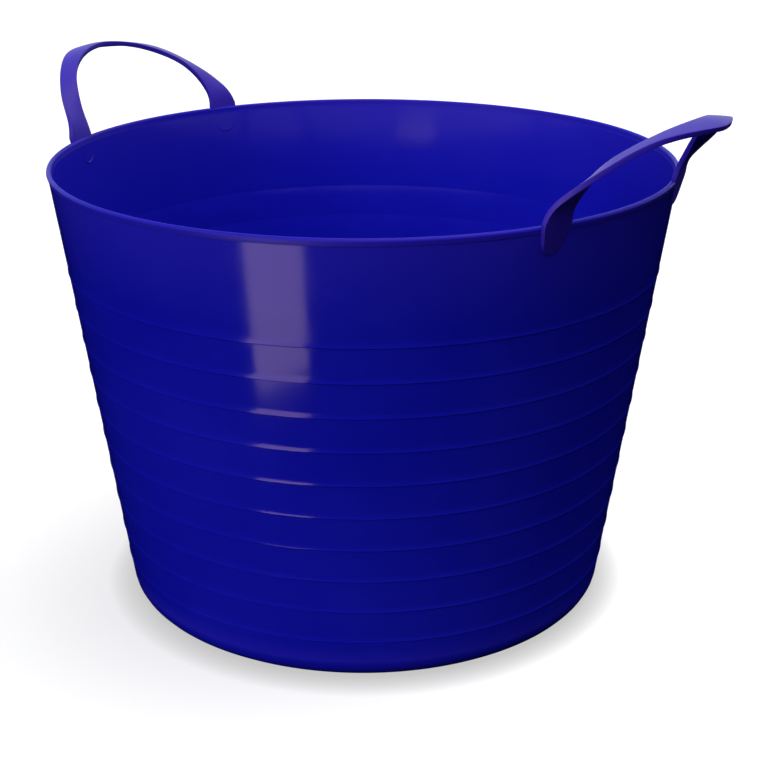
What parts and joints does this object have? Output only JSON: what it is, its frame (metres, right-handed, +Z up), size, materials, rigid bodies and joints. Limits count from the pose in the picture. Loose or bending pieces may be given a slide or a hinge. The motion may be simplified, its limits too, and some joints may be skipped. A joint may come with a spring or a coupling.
{
  "type": "flexible bucket",
  "caption": "Round flexible bucket with a leaning wall stepped in rings, a rounded rim and curled strap handles that bend in and out, for carrying feed, soil and garden waste.",
  "frame": {"origin": "middle of the flat underside", "axes": "+Z up through the mouth, +X through the right handle, -Y towards the front"},
  "size_m": [0.5699, 0.4588, 0.391],
  "materials": {
    "polyethylene": "satin"
  },
  "bodies": {
    "tub": {"wall": "polyethylene", "rim": "polyethylene", "floor": "polyethylene", "left_front_root": "polyethylene", "left_rear_root": "polyethylene", "right_front_root": "polyethylene", "right_rear_root": "polyethylene"},
    "left_handle": {"left_grip": "polyethylene", "left_front_flex": "polyethylene", "left_rear_flex": "polyethylene"},
    "right_handle": {"right_grip": "polyethylene", "right_front_flex": "polyethylene", "right_rear_flex": "polyethylene"}
  },
  "joints": [
    {"name": "left_handle_flex", "type": "hinge", "parent": "tub", "child": "left_handle", "pos_m": [-0.2153, 0, 0.3387], "axis": [0, 1, 0], "range_deg": [-45, 80], "stiffness_Nm_per_rad": 2, "deforming": ["left_front_flex", "left_rear_flex"]},
    {"name": "right_handle_flex", "type": "hinge", "parent": "tub", "child": "right_handle", "pos_m": [0.2153, 0, 0.3387], "axis": [0, -1, 0], "range_deg": [-45, 80], "stiffness_Nm_per_rad": 2, "deforming": ["right_front_flex", "right_rear_flex"]}
  ]
}
